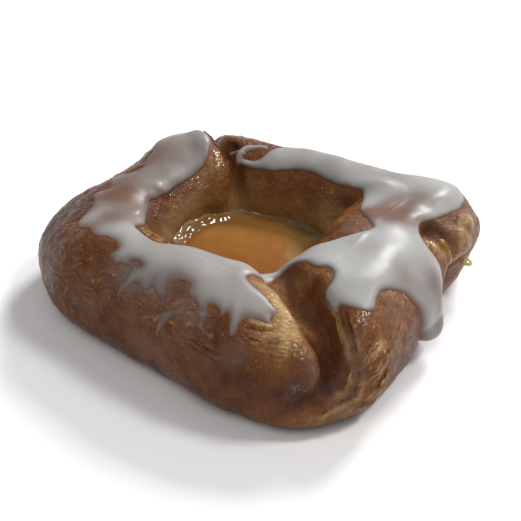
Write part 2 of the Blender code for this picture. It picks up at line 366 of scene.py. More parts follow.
def smooth_line(points, steps, closed=False):
    """A rounded curve through the points."""
    points = np.asarray(points, float)
    if closed:
        padded = np.concatenate([points[-1:], points, points[:2]])
    else:
        padded = np.concatenate([2 * points[:1] - points[1:2], points, 2 * points[-1:] - points[-2:-1]])
    out = []
    for index in range(1, len(padded) - 2):
        a, b, c, d = padded[index - 1 : index + 3]
        for t in np.arange(steps) / steps:
            out.append(
                0.5 * (2 * b + (c - a) * t + (2 * a - 5 * b + 4 * c - d) * t**2 + (3 * b - a - 3 * c + d) * t**3)
            )
    if not closed:
        out.append(points[-1])
    return np.array(out)


# ---------------------------------------------------------------- the browned dough


def dough_columns(count):
    """Column angles, closer together at the two folds."""
    even = np.linspace(-180, 180, 1441)
    weight = 1 + 1.9 * hill(turn(even - GROOVE_ANGLE) / 10) + 0.5 * hill(turn(even - CREASE_ANGLE) / 9)
    total = np.concatenate([[0], np.cumsum((weight[1:] + weight[:-1]) / 2)])
    return np.interp(np.arange(count) / count, total / total[-1], even)


def spot(patch, angle, place, size, stretch=1.0):
    """A round soft spot of the given radius; stretch makes it longer down the section."""
    across = turn(patch.angle - angle) * patch.mm_angle
    down = (patch.place - place) * patch.mm_place / stretch
    return hill(np.hypot(across, down) / size)


def dough_swell(patch):
    """Soft unevenness of the baked dough, in millimetres along the normal."""
    where = patch.points
    exposed = ramp(1.8, 1.5, patch.place) * ramp(-1.15, -0.95, patch.place)
    swell = 0.55 * cell_noise(where, 21, 1) + 0.40 * cell_noise(where, 11, 2)
    return (swell + dough_spots(patch, "rise")) * exposed


def dough_detail(patch):
    """Blisters, flakes and wrinkles, in millimetres along the normal."""
    where = patch.points
    exposed = ramp(1.8, 1.5, patch.place) * ramp(-1.1, -0.95, patch.place)
    blister = 0.5 - np.abs(cell_noise(where, 7, 3))
    detail = 0.28 * blister + 0.16 * cell_noise(where, 3.6, 4) + 0.12 * cell_noise(where, 1.6, 5)
    return (detail + dough_lines(patch, "depth") + flaky_layers(patch)[0]) * exposed


class Spot(NamedTuple):
    """A soft round patch of crust: where it is, how big, how high, and how much darker or paler; low on the front
    right the darkening is painted shade.
    """

    angle: float
    place: float
    size: float
    stretch: float  # more than 1 is longer down the section
    rise: float
    bake: float


CRUST_SPOTS = [
    # the golden crest on the left of the groove, the dent below it and the ridge beside that
    Spot(-47, 0.08, 5.0, 1.6, 0.5, -0.30),
    Spot(-45, 0.28, 4.5, 1.2, 0.5, -0.33),
    Spot(-41, 0.24, 2.6, 1.2, 0.2, -0.25),
    Spot(-47.5, 0.46, 4.5, 1.0, 0.4, -0.28),
    Spot(-54, 0.45, 4.5, 0.8, 0.3, -0.22),
    Spot(-44.5, 0.53, 2.6, 1.4, 0.8, -0.12),
    Spot(-46.2, 0.76, 2.8, 1.4, -0.2, 0.08),
    Spot(-50, 0.72, 5.0, 1.0, 0.3, -0.08),
    Spot(-42.8, 0.74, 1.3, 2.4, 0.5, -0.08),
    Spot(-35, 1.22, 8.0, 0.7, 0.0, -0.22),
    Spot(-41, 1.35, 9.0, 0.6, 0.0, -0.16),
    # the groove's floor
    Spot(-44.5, 0.88, 4.0, 1.2, 0.0, 0.16),
    # painted shade: darker low on the front right, near the floor
    Spot(-14, 1.15, 14.0, 0.8, 0.0, 0.14),
    Spot(-32, 1.10, 8.0, 0.8, 0.0, 0.10),
    Spot(-37, 0.45, 5.0, 2.0, 0.0, 0.10),
    Spot(-36, 0.80, 4.5, 2.0, 0.0, 0.14),
    Spot(-38, 1.06, 4.0, 1.2, 0.0, 0.24),
    Spot(-41.5, 0.92, 4.0, 1.3, 0.0, 0.16),
    # right of the groove
    Spot(-29.2, 0.43, 2.4, 1.0, 0.8, 0.05),
    Spot(-30.8, 0.52, 2.2, 1.0, 0.6, 0.05),
    Spot(-20, 0.62, 15.0, 1.0, 0.0, -0.14),
    Spot(-8, 0.85, 13.0, 1.0, 0.0, -0.06),
    Spot(-25, 1.00, 9.0, 1.0, 0.0, -0.10),
    Spot(-28.0, 0.72, 2.4, 0.7, 0.6, -0.22),
    Spot(-31.2, 0.76, 2.0, 0.7, 0.4, -0.16),
    Spot(-27.6, 0.90, 2.4, 0.7, 0.5, -0.20),
    Spot(-26.0, 1.01, 2.4, 0.7, 0.5, -0.20),
    Spot(-29.5, 0.02, 4.0, 1.0, 0.5, -0.08),
    # inside the well: the lobe's face, the corner beside it, the back wall and the right flap
    Spot(148, -0.38, 6.0, 1.2, 0.4, -0.26),
    Spot(160, -0.62, 6.0, 1.0, 0.0, -0.22),
    Spot(131, -0.12, 2.4, 1.0, -1.8, 0.22),
    Spot(175, -0.85, 8.0, 1.0, 0.0, -0.22),
    Spot(190, -0.72, 5.0, 1.0, 0.4, -0.16),
    Spot(207, -0.64, 6.0, 1.2, -0.5, 0.28),
    Spot(-148, 0.34, 12.0, 1.0, 0.0, 0.24),
    Spot(-156, 0.85, 12.0, 1.0, 0.0, 0.14),
    Spot(-32, -0.10, 4.5, 1.2, 0.0, -0.26),
    Spot(52, -0.80, 5.0, 1.0, 0.0, -0.30),
    Spot(-62, 0.78, 14.0, 1.0, 0.0, 0.10),
    Spot(-50, 0.95, 10.0, 1.0, 0.0, 0.08),
    Spot(-57, 0.38, 4.0, 1.0, 0.0, 0.14),
    Spot(18, -0.55, 6.0, 1.2, 0.0, -0.22),
    Spot(133.5, 0.20, 3.0, 1.6, 0.2, -0.40),
    Spot(100, -0.80, 9.0, 0.6, 0.0, -0.22),
    Spot(72, -0.80, 9.0, 0.6, 0.0, -0.16),
    Spot(30, -0.55, 7.0, 1.2, 0.5, -0.10),
    Spot(12, -0.30, 6.0, 1.0, 0.3, -0.10),
    # the front rim is lower towards the well
    Spot(-92, -0.12, 11.0, 1.0, -1.5, 0.0),
    Spot(-68, -0.14, 9.0, 1.0, -1.3, 0.0),
    Spot(-108, -0.14, 8.0, 1.0, -0.7, 0.0),
    # hollows and swells under the icing on the right flap
    Spot(26.0, 0.04, 7.5, 1.0, -1.6, 0.0),
    Spot(18.0, 0.04, 6.0, 1.0, -0.7, 0.0),
    Spot(42, 0.38, 7.5, 1.2, 1.5, 0.0),
    Spot(47, -0.16, 5.0, 1.0, 1.2, 0.0),
    Spot(160, 0.15, 9.0, 1.2, 1.8, 0.0),
    Spot(34, 0.28, 5.0, 0.9, 0.9, 0.0),
    Spot(-5, 0.20, 6.0, 1.0, 0.6, 0.0),
    Spot(-170.4, -0.34, 2.0, 1.0, 0.7, 0.0),
    Spot(-140.4, -0.33, 2.2, 1.0, 0.8, 0.0),
    Spot(-19, 0.24, 6.0, 1.0, 0.5, 0.0),
    # the open end of the dough at the right corner
    Spot(21, 0.52, 4.0, 1.0, -1.6, 0.20),
    Spot(17.6, 0.63, 2.5, 1.0, 1.6, -0.46),
    Spot(26.5, 0.82, 4.2, 1.3, 1.6, -0.16),
    Spot(30.8, 0.62, 4.0, 1.0, 0.3, -0.36),
    Spot(25.5, 0.70, 3.0, 1.0, 0.6, -0.24),
    Spot(24.8, 0.88, 2.6, 1.2, 0.7, -0.20),
    Spot(29.5, 0.90, 2.8, 1.4, 0.8, -0.40),
    Spot(31.5, 0.68, 3.2, 1.2, 1.2, -0.30),
    Spot(17, 0.86, 3.4, 1.4, 1.2, -0.18),
    Spot(22.5, 1.10, 4.0, 1.4, -0.6, 0.10),
    Spot(22.4, 0.66, 1.2, 4.0, -1.2, 0.10),
]


class Line(NamedTuple):
    """A crack or a torn edge in the crust, along a line of (angle, place) points."""

    points: list
    width: float
    depth: float
    step: float  # how far the side on the right of the line stands proud of the other
    # painted shade: a positive value darkens the crack's bottom; a negative one makes a torn edge paler
    bake: float


CRUST_LINES = [
    # pale torn layers along the right edge of the groove, with cracks between them
    Line([(-32.6, 0.10), (-33.3, 0.26), (-33.7, 0.44), (-33.8, 0.62), (-33.6, 0.80)], 1.3, -0.15, 0.0, -0.44),
    Line([(-32.9, 0.26), (-33.2, 0.40), (-33.3, 0.54), (-33.1, 0.68)], 0.22, 0.5, 0.0, 0.24),
    Line([(-32.0, 0.30), (-32.3, 0.42), (-32.5, 0.56), (-32.6, 0.70)], 0.32, 0.7, 0.0, 0.40),
    Line([(-31.6, 0.36), (-31.9, 0.52), (-32.2, 0.70)], 0.7, 0.0, 0.0, -0.22),
    Line([(-33.4, 0.74), (-33.6, 0.84), (-34.0, 0.95), (-35.0, 1.06), (-36.6, 1.15)], 0.9, -0.2, 0.0, -0.36),
    Line([(-32.5, 0.80), (-32.9, 0.92), (-33.6, 1.04), (-35.6, 1.19), (-38.6, 1.27)], 0.24, 0.5, 0.0, 0.28),
    Line([(-31.6, 0.88), (-32.2, 1.02), (-34.2, 1.18), (-37.5, 1.32)], 1.0, -0.1, 0.0, -0.22),
    Line([(-30.4, 1.17), (-27.5, 1.24), (-23.6, 1.31)], 0.40, 0.6, 0.5, 0.18),
    Line([(-29.8, 0.80), (-26.5, 0.84), (-22.8, 0.82)], 0.40, 0.5, 0.5, 0.15),
    Line([(-30.6, 0.98), (-27.0, 1.02), (-23.6, 1.06)], 0.40, 0.5, 0.5, 0.15),
    # folds in the torn end of the dough at the right corner
    Line([(32.5, 0.50), (29.0, 0.57), (26.6, 0.66), (25.6, 0.78)], 0.32, 0.8, 0.5, 0.24),
    Line([(31.5, 0.66), (28.6, 0.74), (27.6, 0.84), (27.2, 0.94)], 0.32, 0.7, 0.4, 0.22),
    Line([(33.5, 0.60), (31.6, 0.70), (30.4, 0.82)], 0.60, -0.3, 0.0, -0.24),
    Line([(25.6, 0.66), (24.0, 0.76), (23.8, 0.88), (24.6, 0.98)], 0.50, -0.3, 0.0, -0.22),
    # the edge of the lapping end beside the crease
    Line([(141.5, -0.02), (142.5, -0.25), (142.5, -0.50), (143.5, -0.75), (145, -0.95)], 0.40, 0.7, 0.6, 0.1),
    # wrinkles and loose flakes on the left of the groove
    Line([(-47.0, 0.25), (-43.5, 0.24), (-40.8, 0.18)], 0.35, 0.4, 0.0, 0.12),
    Line([(-46.5, 0.31), (-43.5, 0.29), (-40.8, 0.23)], 0.35, 0.5, 0.0, 0.12),
    Line([(-46.8, 0.37), (-43.5, 0.35), (-41.0, 0.28)], 0.35, 0.4, 0.0, 0.10),
    Line([(-58, 0.46), (-53, 0.43), (-48.5, 0.40)], 0.40, 0.6, 0.4, 0.16),
    Line([(-57, 0.41), (-52, 0.385), (-48.5, 0.35)], 0.60, -0.4, 0.0, -0.30),
    Line([(-57, 0.52), (-52, 0.50), (-48.0, 0.48)], 0.40, 0.6, 0.4, 0.16),
    Line([(-56, 0.58), (-51, 0.56), (-46.5, 0.56)], 0.50, -0.3, 0.0, -0.18),
]


class Layers(NamedTuple):
    """A patch of torn thin layers, like scales with raised pale edges."""

    angle: float
    place: float
    size: float
    stretch: float
    heading: float  # degrees by which the edges turn from running round the well
    spacing: float
    height: float


FLAKY_LAYERS = [
    Layers(-47, 0.26, 5.0, 1.4, -18, 1.3, 0.22),
    Layers(-55, 0.47, 7.0, 0.9, -12, 1.3, 0.40),
    Layers(-47, 0.50, 4.5, 1.0, 10, 1.3, 0.30),
    Layers(-28, 0.62, 5.5, 1.6, 34, 1.6, 0.52),
    Layers(-26, 0.95, 7.5, 1.4, 26, 1.7, 0.52),
    Layers(-16, 0.70, 8.0, 1.2, 34, 2.0, 0.40),
    Layers(-8, 0.92, 7.0, 1.2, 20, 2.0, 0.40),
    Layers(17, 0.60, 4.0, 1.2, 40, 1.3, 0.50),
    Layers(27, 0.76, 6.0, 1.4, 60, 1.5, 0.50),
    Layers(-66, 0.66, 9.0, 1.0, -8, 2.0, 0.40),
    Layers(-82, 0.62, 13.0, 0.8, 10, 2.6, 0.45),
    Layers(-104, 0.52, 10.0, 0.9, 5, 2.4, 0.42),
    Layers(-118, 0.75, 12.0, 0.9, -6, 2.8, 0.40),
    Layers(-132, 0.40, 9.0, 0.8, 0, 2.4, 0.42),
    Layers(20, 0.90, 7.0, 1.2, 30, 2.0, 0.35),
    Layers(58, 0.60, 14.0, 1.0, 12, 2.6, 0.35),
    Layers(100, 0.70, 16.0, 0.9, -8, 2.8, 0.35),
    Layers(140, 0.70, 15.0, 1.0, 10, 2.6, 0.35),
    Layers(176, 0.70, 15.0, 1.0, -6, 2.8, 0.35),
]


def flaky_layers(patch):
    """(rise, tone) of the torn layers; the tone holds painted shade at the foot of each step."""
    rise = np.zeros(patch.place.shape)
    bake = np.zeros(patch.place.shape)
    bend = 1.2 * cell_noise(patch.points, 6, 50) + 0.45 * cell_noise(patch.points, 2.2, 51)
    broken = ramp(-0.25, 0.35, cell_noise(patch.points, 3.4, 52))
    for item in FLAKY_LAYERS:
        weight = spot(patch, item.angle, item.place, item.size, item.stretch) * broken
        across = turn(patch.angle - item.angle) * patch.mm_angle
        down = (patch.place - item.place) * patch.mm_place
        heading = math.radians(item.heading)
        phase = (down * math.cos(heading) + across * math.sin(heading)) / item.spacing + bend
        phase = phase - np.floor(phase)
        rise += item.height * weight * ramp(0, 0.8, phase) * ramp(1.0, 0.8, phase)
        # painted shade: darker at the foot of each step, under the edge above it; paler near the raised edge
        bake += weight * (0.20 * hill((phase - 0.02) / 0.14) - 0.30 * hill((phase - 0.74) / 0.14))
    return rise, bake


def dough_spots(patch, field):
    total = np.zeros(patch.place.shape)
    for item in CRUST_SPOTS:
        amount = getattr(item, field)
        if amount:
            total += amount * spot(patch, item.angle, item.place, item.size, item.stretch)
    return total


def dough_lines(patch, field):
    """The cracks' depth, or how much darker their bottoms are painted, as painted shade; a negative amount makes
    a torn edge paler.
    """
    total = np.zeros(patch.place.shape)
    for item in CRUST_LINES:
        distance, side, share = line_distance(patch, smooth_line(item.points, 3))
        ends = ramp(0, 0.15, share) * ramp(1, 0.85, share)
        wander = distance + 0.35 * np.abs(cell_noise(patch.points, 2.2, 6))
        mark = hill(wander / item.width)
        if field == "bake":
            total += item.bake * ends * mark
        else:
            proud = np.where(side > 0, np.exp(-distance / 2.4), 0)
            total += ends * (item.step * proud - item.depth * mark)
    return total


def dough_browning_and_shade(patch):
    """0 for the palest crust to 1 for the darkest."""
    where = patch.points
    bake = 0.66 + 0.09 * cell_noise(where, 26, 11) + 0.10 * cell_noise(where, 10, 12)
    bake += 0.05 * cell_noise(where, 3.5, 13)
    bake += dough_spots(patch, "bake") + dough_lines(patch, "bake") + flaky_layers(patch)[1]
    return bake


def dough_looks(patch):
    """Painted values: browning with painted shade in cracks, under layer steps and low on the front right, coat
    of jelly, and thin dried glaze.
    """
    looks = np.zeros(patch.place.shape + (4,))
    looks[..., 0] = np.clip(dough_browning_and_shade(patch), 0, 1)
    height = patch.points[..., 2] + 1.6 * cell_noise(patch.points, 9, 14)
    looks[..., 1] = ramp(27, 16.5, height) * ramp(-0.2, -0.5, patch.place)
    looks[..., 2] = np.clip(
        1.0 * spot(patch, -86, 0.42, 6, 0.8) + 1.0 * spot(patch, -99, 0.42, 6, 1.0)
        + 0.7 * spot(patch, -72, 0.50, 5, 1.0)
        + 0.3 * ramp(0.1, 0.5, cell_noise(where_of(patch), 12, 15)), 0, 1
    )
    looks[..., 3] = 1.0
    return looks


def where_of(patch):
    return patch.points


def build_dough(shift, material):
    angles = dough_columns(590)
    places = np.concatenate(
        [
            np.linspace(2.9, 2.0, 4),
            np.linspace(2, 1, 27)[1:],
            np.linspace(1, 0, 76)[1:],
            np.linspace(0, -1, 57)[1:],
            np.linspace(-1, -2.9, 5)[1:],
        ]
    )
    patch = make_patch(angles[None, :], places[:, None])
    sunk = icing_bed(icing_margin(patch))
    move = dough_swell(patch) + dough_detail(patch) - sunk
    points = patch.points + patch.normal * move[..., None]
    points[..., 2] = np.maximum(points[..., 2], 0.0)
    looks = dough_looks(patch)
    rows, columns = patch.place.shape
    flat = np.concatenate([points.reshape(-1, 3), [(WELL_X, WELL_Y, 0), (WELL_X, WELL_Y, FLOOR_Z)]])
    colours = np.concatenate([looks.reshape(-1, 4), np.tile([0.6, 0, 0, 1], (2, 1))])
    faces = ring_faces(rows, columns)
    last = (rows - 1) * columns
    ends = [(rows * columns, (c + 1) % columns, c) for c in range(columns)]
    ends += [(rows * columns + 1, last + c, last + (c + 1) % columns) for c in range(columns)]
    piece = make_mesh("crust", flat + shift, faces.tolist() + ends, material, {"looks": colours})
    return piece


class Flake(NamedTuple):
    """A torn sheet of crust that stands up from a line of (angle, place) points."""

    points: list
    width: float  # towards the left of the line
    lift: float
    bake: float


FLAKES = [
    # along the right edge of the groove
    Flake([(-33.5, 0.28), (-33.9, 0.42), (-34.0, 0.56)], -0.5, 0.1, 0.30),
    Flake([(-33.3, 0.76), (-33.6, 0.86), (-34.1, 0.96), (-35.2, 1.05)], -0.6, 0.2, 0.28),
    # right wall
    Flake([(-30.5, 0.72), (-28.5, 0.68), (-26.5, 0.67)], 1.0, 0.4, 0.34),
    Flake([(-29.5, 0.93), (-27.5, 0.89), (-25.5, 0.87)], 0.9, 0.4, 0.34),
    Flake([(-28, 1.06), (-26, 1.01), (-24.0, 0.97)], 0.9, 0.4, 0.36),
    # the lip on the ribbon's inner edge at the left
    Flake([(236, -0.30), (246, -0.19), (256, -0.14), (264, -0.13)], 1.9, 1.0, 0.40),
    # the edge of the lapping end at the crease
    Flake([(143, 0.02), (142.5, -0.2), (142.5, -0.45), (143.5, -0.7)], -0.9, 0.5, 0.45),
]


def build_flakes(shift, material):
    points, faces, looks, size = [], [], [], 0
    across = np.linspace(0, 1, 5)
    for index, item in enumerate(FLAKES):
        line = smooth_line(item.points, 10)
        steps = len(line)
        share = np.linspace(0, 1, steps)
        at = make_patch(line[:, 0], line[:, 1])
        run_a = np.gradient(line[:, 0]) * at.mm_angle
        run_p = np.gradient(line[:, 1]) * at.mm_place
        length = np.hypot(run_a, run_p) + 1e-9
        seed = 60 + 5 * index
        ragged = 1 + 0.45 * cell_noise(at.points, 1.6, seed) + 0.3 * cell_noise(at.points, 4, seed + 1)
        taper = np.sqrt(np.clip(np.sin(math.pi * np.clip(share, 0.02, 0.98)), 0, 1))
        width = item.width * ragged * taper
        angle = line[:, 0] + (run_p / length * width / at.mm_angle) * across[:, None]
        place = line[:, 1] - (run_a / length * width / at.mm_place) * across[:, None]
        grid = make_patch(angle, place)
        lift = item.lift * taper * (across[:, None] ** 1.6) - 0.35 * (1 - across[:, None])
        lift = lift + 0.2 * cell_noise(grid.points, 2.5, seed + 2) * across[:, None]
        base = dough_swell(grid) + 0.1
        thick = 0.36 - 0.18 * across[:, None]
        top = grid.points + grid.normal * (base + lift + thick)[..., None]
        under = grid.points + grid.normal * (base + lift)[..., None]
        flat, quads, used = closed_sheet(top, under, np.ones((len(across) - 1, steps - 1), bool))
        if item.width > 0:
            quads = [quad[::-1] for quad in quads]
        points.append(flat)
        faces += [[corner + size for corner in quad] for quad in quads]
        size += len(flat)
        value = np.zeros((len(flat), 4))
        tone = item.bake + 0.22 * cell_noise(flat, 1.5, seed + 3)
        value[:, 0] = np.clip(tone, 0, 1)
        value[:, 3] = 1
        looks.append(value)
    return make_mesh("flakes", np.concatenate(points) + shift, faces, material, {"looks": np.concatenate(looks)})


class Bead(NamedTuple):
    """A rounded bead along a line of (angle, place) points on the dough."""

    points: list
    width: float  # half width
    height: float


AMBER_BEADS = [
    Bead([(22.4, 0.58), (21.2, 0.66), (20.6, 0.74), (20.6, 0.82), (21.2, 0.90), (22.4, 0.97)], 1.5, 0.6),
    Bead([(20.8, 0.80), (21.0, 0.88), (21.8, 0.95)], 1.8, 1.1),
]
GLAZE_DROPS = [
    Bead([(30.6, 1.08), (30.5, 1.14), (30.4, 1.20)], 1.9, 2.3),
]


def build_beads(name, beads, shift, material):
    points, faces, looks, size = [], [], [], 0
    around = np.linspace(0, 2 * math.pi, 14, endpoint=False)
    for index, item in enumerate(beads):
        line = smooth_line(item.points, 8)
        steps = len(line)
        at = make_patch(line[:, 0], line[:, 1])
        base = dough_swell(at) + 0.1
        centre = at.points + at.normal * base[:, None]
        run = np.gradient(centre, axis=0)
        run /= np.linalg.norm(run, axis=1, keepdims=True)
        side = np.cross(run, at.normal)
        taper = np.sqrt(np.sin(math.pi * np.clip(np.linspace(0, 1, steps), 0.02, 0.98)))
        taper *= 1 + 0.3 * cell_noise(centre, 2.2, 80 + index)
        wide = (item.width * taper)[:, None, None] * np.cos(around)[None, :, None] * side[:, None, :]
        high = (item.height * taper)[:, None, None] * np.sin(around)[None, :, None] * at.normal[:, None, :]
        tube = centre[:, None, :] + wide + high
        flat = np.concatenate([tube.reshape(-1, 3), centre[:1], centre[-1:]])
        count = len(around)
        quads = ring_faces(steps, count)
        faces += (quads + size).tolist()
        start, end, last = size + steps * count, size + steps * count + 1, size + (steps - 1) * count
        faces += [(start, size + (c + 1) % count, size + c) for c in range(count)]
        faces += [(end, last + c, last + (c + 1) % count) for c in range(count)]
        size += len(flat)
        value = np.zeros((len(flat), 4))
        value[:, 0] = np.clip(0.25 + 0.2 * cell_noise(flat, 2, 90 + index), 0, 1)
        value[:, 3] = 1
        points.append(flat)
        looks.append(value)
    return make_mesh(name, np.concatenate(points) + shift, faces, material, {"looks": np.concatenate(looks)})


# Where glossy blisters of egg wash stand: how many, angle, place, spread in degrees and in place, size.
BLISTER_FIELDS = [
    (34, 146.5, -0.43, 3.0, 0.07, 0.55),
    (10, 146.5, -0.42, 2.2, 0.06, 0.9),
    (5, 164.0, -0.50, 3.0, 0.03, 0.8),
    (8, 158, -0.62, 3, 0.04, 0.45),
    (22, 166, -0.56, 5, 0.03, 0.42),
    (12, 184, -0.52, 4, 0.04, 0.42),
    (16, 205, -0.60, 8, 0.20, 0.34),
    (8, 120, -0.70, 20, 0.10, 0.36),
    (10, 60, -0.55, 10, 0.10, 0.38),
    (70, -45, 0.17, 3.0, 0.14, 0.34),
    (24, -44.5, 0.52, 2.5, 0.06, 0.42),
    (16, -45.6, 0.80, 1.5, 0.04, 0.42),
    (10, -29.8, 0.45, 1.6, 0.07, 0.8),
    (24, -29.8, 0.45, 1.6, 0.07, 0.45),
    (50, -13, 0.64, 5, 0.14, 0.38),
    (50, -26, 0.90, 6, 0.30, 0.36),
    (90, -76, 0.55, 18, 0.22, 0.36),
    (40, -118, 0.45, 16, 0.20, 0.38),
    (24, 17.5, 0.62, 1.8, 0.05, 0.45),
    (120, 120, 0.60, 75, 0.35, 0.34),
]
BLISTER_HEIGHT = 0.6  # for a radius of one


def build_blisters(shift, material):
    random = np.random.default_rng(9)
    places = []
    for count, angle, place, spread_angle, spread_place, size in BLISTER_FIELDS:
        offsets = random.normal(0, 0.6, (count, 2)) * (spread_angle, spread_place)
        sizes = size * random.uniform(0.5, 1.2, count)
        places += [(angle + a, place + b, each) for (a, b), each in zip(offsets, sizes)]
    places = np.array(places)
    at = make_patch(places[:, 0], places[:, 1])
    keep = icing_margin(at) < -0.4
    places = places[keep]
    at = make_patch(places[:, 0], places[:, 1])
    centre = at.points + at.normal * (dough_swell(at) + dough_detail(at) - 0.12)[:, None]
    tone = dough_browning_and_shade(at)
    side = np.cross(at.normal, (0.3, 0.2, 1.0))
    side /= np.linalg.norm(side, axis=1, keepdims=True)
    other = np.cross(at.normal, side)
    around = np.linspace(0, 2 * math.pi, 12, endpoint=False)
    rings = np.linspace(0, 1, 6)[:-1]
    points, faces, looks = [], [], []
    for index in range(len(places)):
        size = places[index, 2]
        long, turned = random.uniform(0.9, 1.6), random.uniform(0, math.pi)
        x = np.cos(around) * long
        y = np.sin(around)
        x, y = x * math.cos(turned) - y * math.sin(turned), x * math.sin(turned) + y * math.cos(turned)
        start = len(points)
        for share in rings:
            reach = size * math.cos(share * math.pi / 2)
            lift = BLISTER_HEIGHT * size * math.sin(share * math.pi / 2)
            ring = centre[index] + lift * at.normal[index]
            ring = ring + reach * (x[:, None] * side[index] + y[:, None] * other[index])
            points += ring.tolist()
        points.append((centre[index] + BLISTER_HEIGHT * size * at.normal[index]).tolist())
        points.append((centre[index] - 0.2 * size * at.normal[index]).tolist())
        count = len(around)
        faces += (ring_faces(len(rings), count)[:, ::-1] + start).tolist()
        last, top = start + (len(rings) - 1) * count, start + len(rings) * count
        faces += [(top, last + (c + 1) % count, last + c) for c in range(count)]
        faces += [(top + 1, start + c, start + (c + 1) % count) for c in range(count)]
        looks += [[np.clip(tone[index] - 0.05, 0, 1), 0, 0, 1]] * (len(rings) * count + 2)
    return make_mesh("blisters", np.array(points) + shift, faces, material, {"looks": looks})


def ring_faces(rows, columns):
    """Quads of a grid whose columns close on themselves."""
    row, column = np.meshgrid(np.arange(rows - 1), np.arange(columns), indexing="ij")
    here, beside = row * columns + column, row * columns + (column + 1) % columns
    quads = np.stack([here, beside, beside + columns, here + columns], -1)
    return quads.reshape(-1, 4)


def make_mesh(name, points, faces, material, colours=None, smooth=True):
    mesh = bpy.data.meshes.new(name)
    mesh.from_pydata((np.asarray(points) * MILLIMETRE).tolist(), [], faces)
    mesh.validate()
    for attribute, values in (colours or {}).items():
        layer = mesh.color_attributes.new(attribute, "FLOAT_COLOR", "POINT")
        layer.data.foreach_set("color", np.asarray(values, np.float32).reshape(-1))
    mesh.update()
    if smooth:
        mesh.shade_smooth()
    mesh.materials.append(material)
    piece = bpy.data.objects.new(name, mesh)
    bpy.context.scene.collection.objects.link(piece)
    return piece


# ---------------------------------------------------------------- icing

# The ribbon's two edges, from its start at the crease round by the left and the front.
ICING_INNER = [
    (147, 0.12),
    (144, -0.05),
    (144.5, -0.20),
    (149, -0.33),
    (156, -0.45),
    (167, -0.48),
    (178, -0.47),
    (188, -0.46),
    (195, -0.42),
    (201, -0.37),
    (209, -0.42),
    (220, -0.43),
    (230, -0.40),
    (238, -0.20),
    (252, -0.12),
    (262, -0.10),
    (272, -0.26),
    (285, -0.30),
    (298, -0.30),
    (307, -0.38),
    (315, -0.54),
    (323, -0.61),
    (331, -0.60),
    (338, -0.53),
    (345, -0.40),
    (352, -0.21),
    (358, -0.08),
    (364, -0.01),
    (368, -0.05),
    (373, -0.14),
    (380, -0.24),
    (390, -0.38),
    (396, -0.41),
    (402, -0.39),
    (407, -0.33),
    (413, -0.36),
    (422, -0.39),
    (436, -0.34),
    (446, -0.34),
    (460, -0.42),
    (472, -0.44),
    (483, -0.45),
    (489, -0.41),
    (491, -0.32),
]
ICING_OUTER = [
    (150, 0.30),
    (155, 0.42),
    (161, 0.40),
    (167, 0.23),
    (176, 0.18),
    (182, 0.11),
    (187, 0.18),
    (190, 0.29),
    (195, 0.20),
    (199, 0.14),
    (203, 0.25),
    (209, 0.18),
    (215, 0.16),
    (221, 0.24),
    (227, 0.31),
    (232, 0.22),
    (237, 0.24),
    (244, 0.18),
    (250, 0.25),
    (250, 0.36),
    (254, 0.41),
    (261, 0.37),
    (260, 0.48),
    (260, 0.66),
    (265, 0.54),
    (271, 0.49),
    (277, 0.48),
    (279, 0.38),
    (281, 0.31),
    (285, 0.31),
    (285, 0.39),
    (291, 0.44),
    (287, 0.50),
    (281, 0.56),
    (288, 0.56),
    (292, 0.60),
    (295, 0.62),
    (296, 0.52),
    (298, 0.39),
    (299, 0.48),
    (299, 0.60),
    (301, 0.48),
    (304, 0.38),
    (307, 0.35),
    (310, 0.40),
    (310, 0.32),
    (312, 0.26),
    (310.5, 0.17),
    (308, 0.10),
    (305, 0.01),
    (309, -0.07),
    (314, -0.12),
    (321, -0.36),
    (326, -0.47),
    (331, -0.44),
    (333, -0.26),
    (332, -0.08),
    (334, 0.01),
    (331, 0.07),
    (328, 0.10),
    (327, 0.19),
    (326.6, 0.30),
    (328, 0.25),
    (329, 0.29),
    (332, 0.41),
    (335, 0.44),
    (337, 0.39),
    (340, 0.38),
    (344, 0.45),
    (348.5, 0.63),
    (352, 0.84),
    (354, 1.08),
    (355.5, 1.27),
    (360, 1.37),
    (364.5, 1.31),
    (368.2, 1.12),
    (370.5, 0.92),
    (372.2, 0.76),
    (372.8, 0.64),
    (373.4, 0.52),
    (375, 0.42),
    (380, 0.36),
    (385, 0.41),
    (391, 0.48),
    (398, 0.50),
    (404, 0.44),
    (409, 0.28),
    (416, 0.20),
    (428, 0.17),
    (440, 0.24),
    (449, 0.22),
    (457, 0.15),
    (464, 0.05),
    (468, -0.06),
    (472, -0.20),
    (477, -0.31),
    (484, -0.35),
]
# Threads and fingers of icing: half width in millimetres at the start and end, then the line.
ICING_STROKES = [
    (1.4, 1.15, [(490, -0.36), (489.5, -0.28), (485, -0.18), (479, -0.12), (473, -0.07)]),
    (1.1, 0.8, [(487, -0.24), (490, -0.21), (493, -0.17)]),
    (1.0, 0.7, [(287, 0.47), (282.4, 0.56), (280, 0.61), (277.0, 0.68)]),
    (0.9, 0.6, [(281.5, 0.59), (279, 0.70), (277.6, 0.81)]),
    (0.8, 0.5, [(262, 0.44), (260.6, 0.56), (260.2, 0.67)]),
]
# Holes in the icing: angle, place, radius across and along in millimetres.
ICING_HOLES = [
    (294.4, 0.42, 1.9, 1.6),
    (293.6, 0.53, 1.6, 2.0),
    (284.5, 0.43, 2.4, 1.8),
    (281.8, 0.50, 2.2, 1.6),
    (261.6, 0.33, 1.6, 1.0),
    (288.5, 0.53, 2.4, 1.3),
]
ICING_RISE = 0.75
ICING_SUNK = 1.1
ICING_BURIED = 1.1
DRIP_ANGLE, DRIP_HALF_ANGLE = 361.0, 8.0
